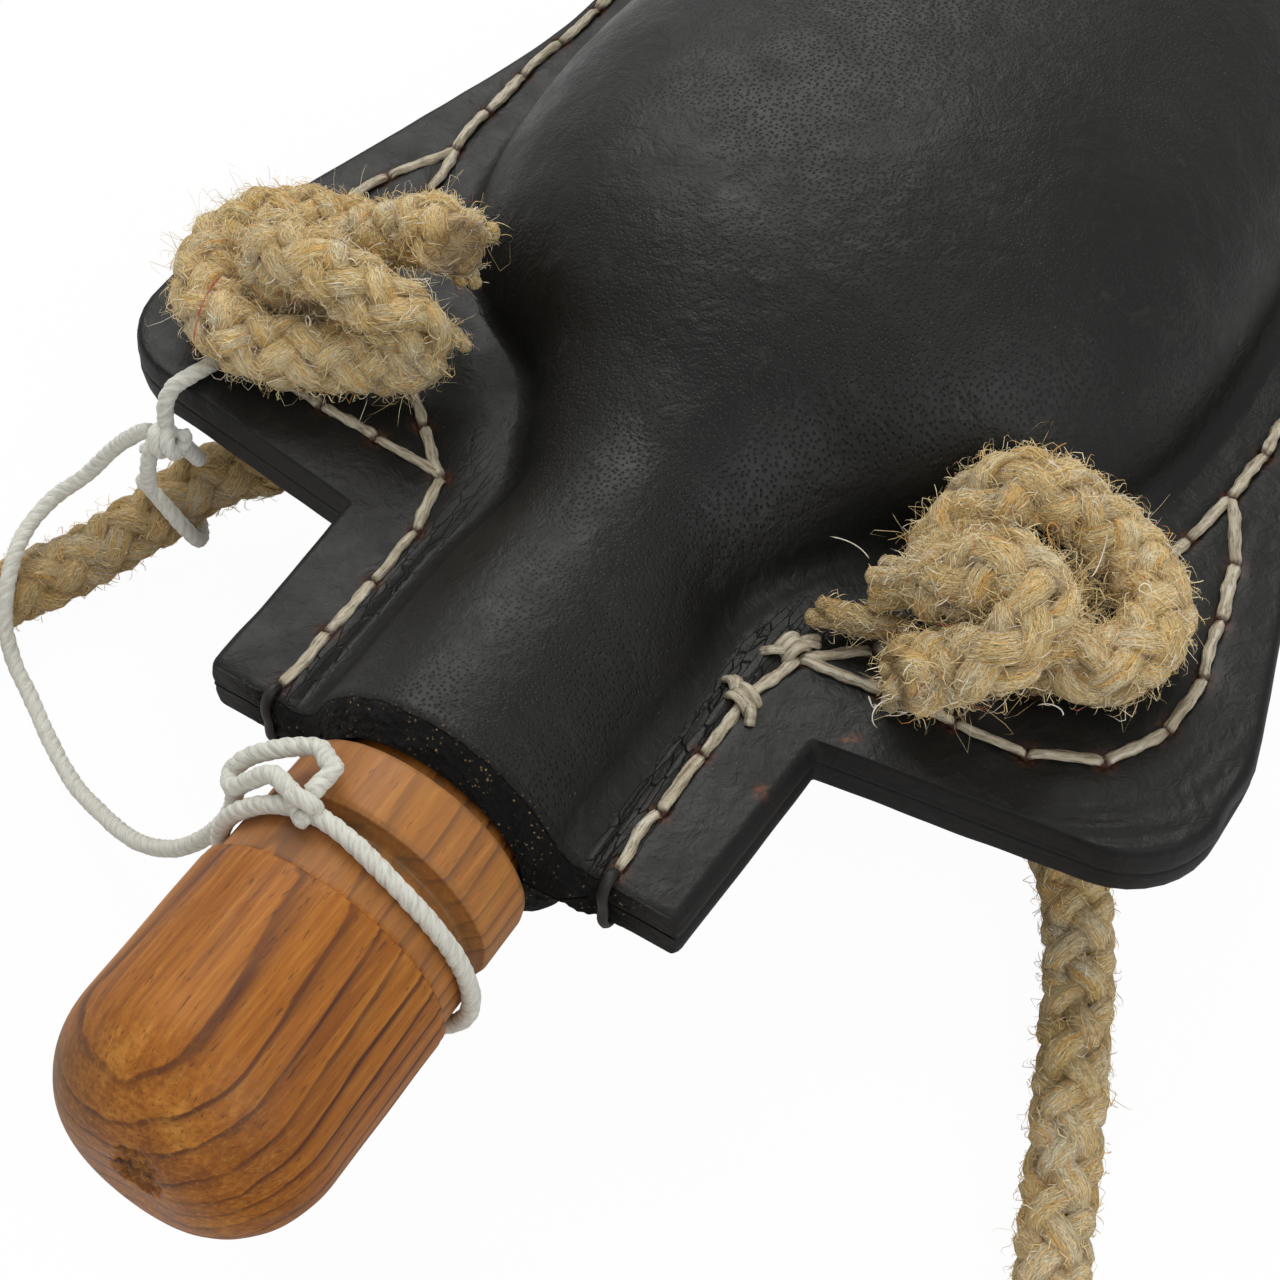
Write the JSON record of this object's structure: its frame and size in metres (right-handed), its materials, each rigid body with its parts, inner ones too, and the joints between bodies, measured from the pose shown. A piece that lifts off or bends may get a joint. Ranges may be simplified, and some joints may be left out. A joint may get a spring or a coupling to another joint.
{
  "type": "leather canteen",
  "caption": "Moulded and sewn leather bottle with two rope ears, a turned wooden stopper on a cotton tether and a hemp carrying strap knotted through the ears.",
  "frame": {"origin": "middle of the bottle's and stopper's outline, on the surface that the bottle's back rests on", "axes": "+Y from the stopper to the bottle's bottom, +X across the ears, +Z out of the front panel"},
  "size_m": [0.2153, 0.3252, 0.0634],
  "materials": {
    "black_leather": "black waxed harness leather, satin, burnished edges",
    "pitch": "brewer's pitch, dark and slightly glossy",
    "waxed_thread": "waxed linen thread, greyed",
    "turned_wood": "turned reddish hardwood, oiled, satin",
    "cotton_cord": "off-white twisted cotton cord",
    "hemp_rope": "coarse hemp rope, hairy"
  },
  "bodies": {
    "bottle": {"front_panel": "black_leather", "back_panel": "black_leather", "pitch_lining": "pitch", "main_seam_thread": "waxed_thread", "ear_seam_right": "waxed_thread", "ear_seam_left": "waxed_thread", "tether_cord": "cotton_cord", "tether_hitch_knot": "cotton_cord", "tether_hitch_leg": "cotton_cord", "tether_strap_loop": "cotton_cord", "rope_knot_right": "hemp_rope", "rope_knot_left": "hemp_rope", "strap_coil": "hemp_rope", "strap_rope_left": "hemp_rope", "strap_rope_right": "hemp_rope"},
    "noose": {"tether_noose": "cotton_cord", "tether_noose_knot": "cotton_cord", "tether_eye": "cotton_cord"},
    "stopper": {"stopper": "turned_wood"}
  },
  "joints": [
    {"name": "stopper_pull", "type": "slide", "parent": "bottle", "child": "noose", "axis": [0, -1, 0], "range_m": [0, 0.06], "deforming": ["tether_cord"]},
    {"name": "stopper_twist", "type": "hinge", "parent": "noose", "child": "stopper", "pos_m": [0, -0.06995, 0.0314], "axis": [0, -1, 0], "continuous": true}
  ]
}
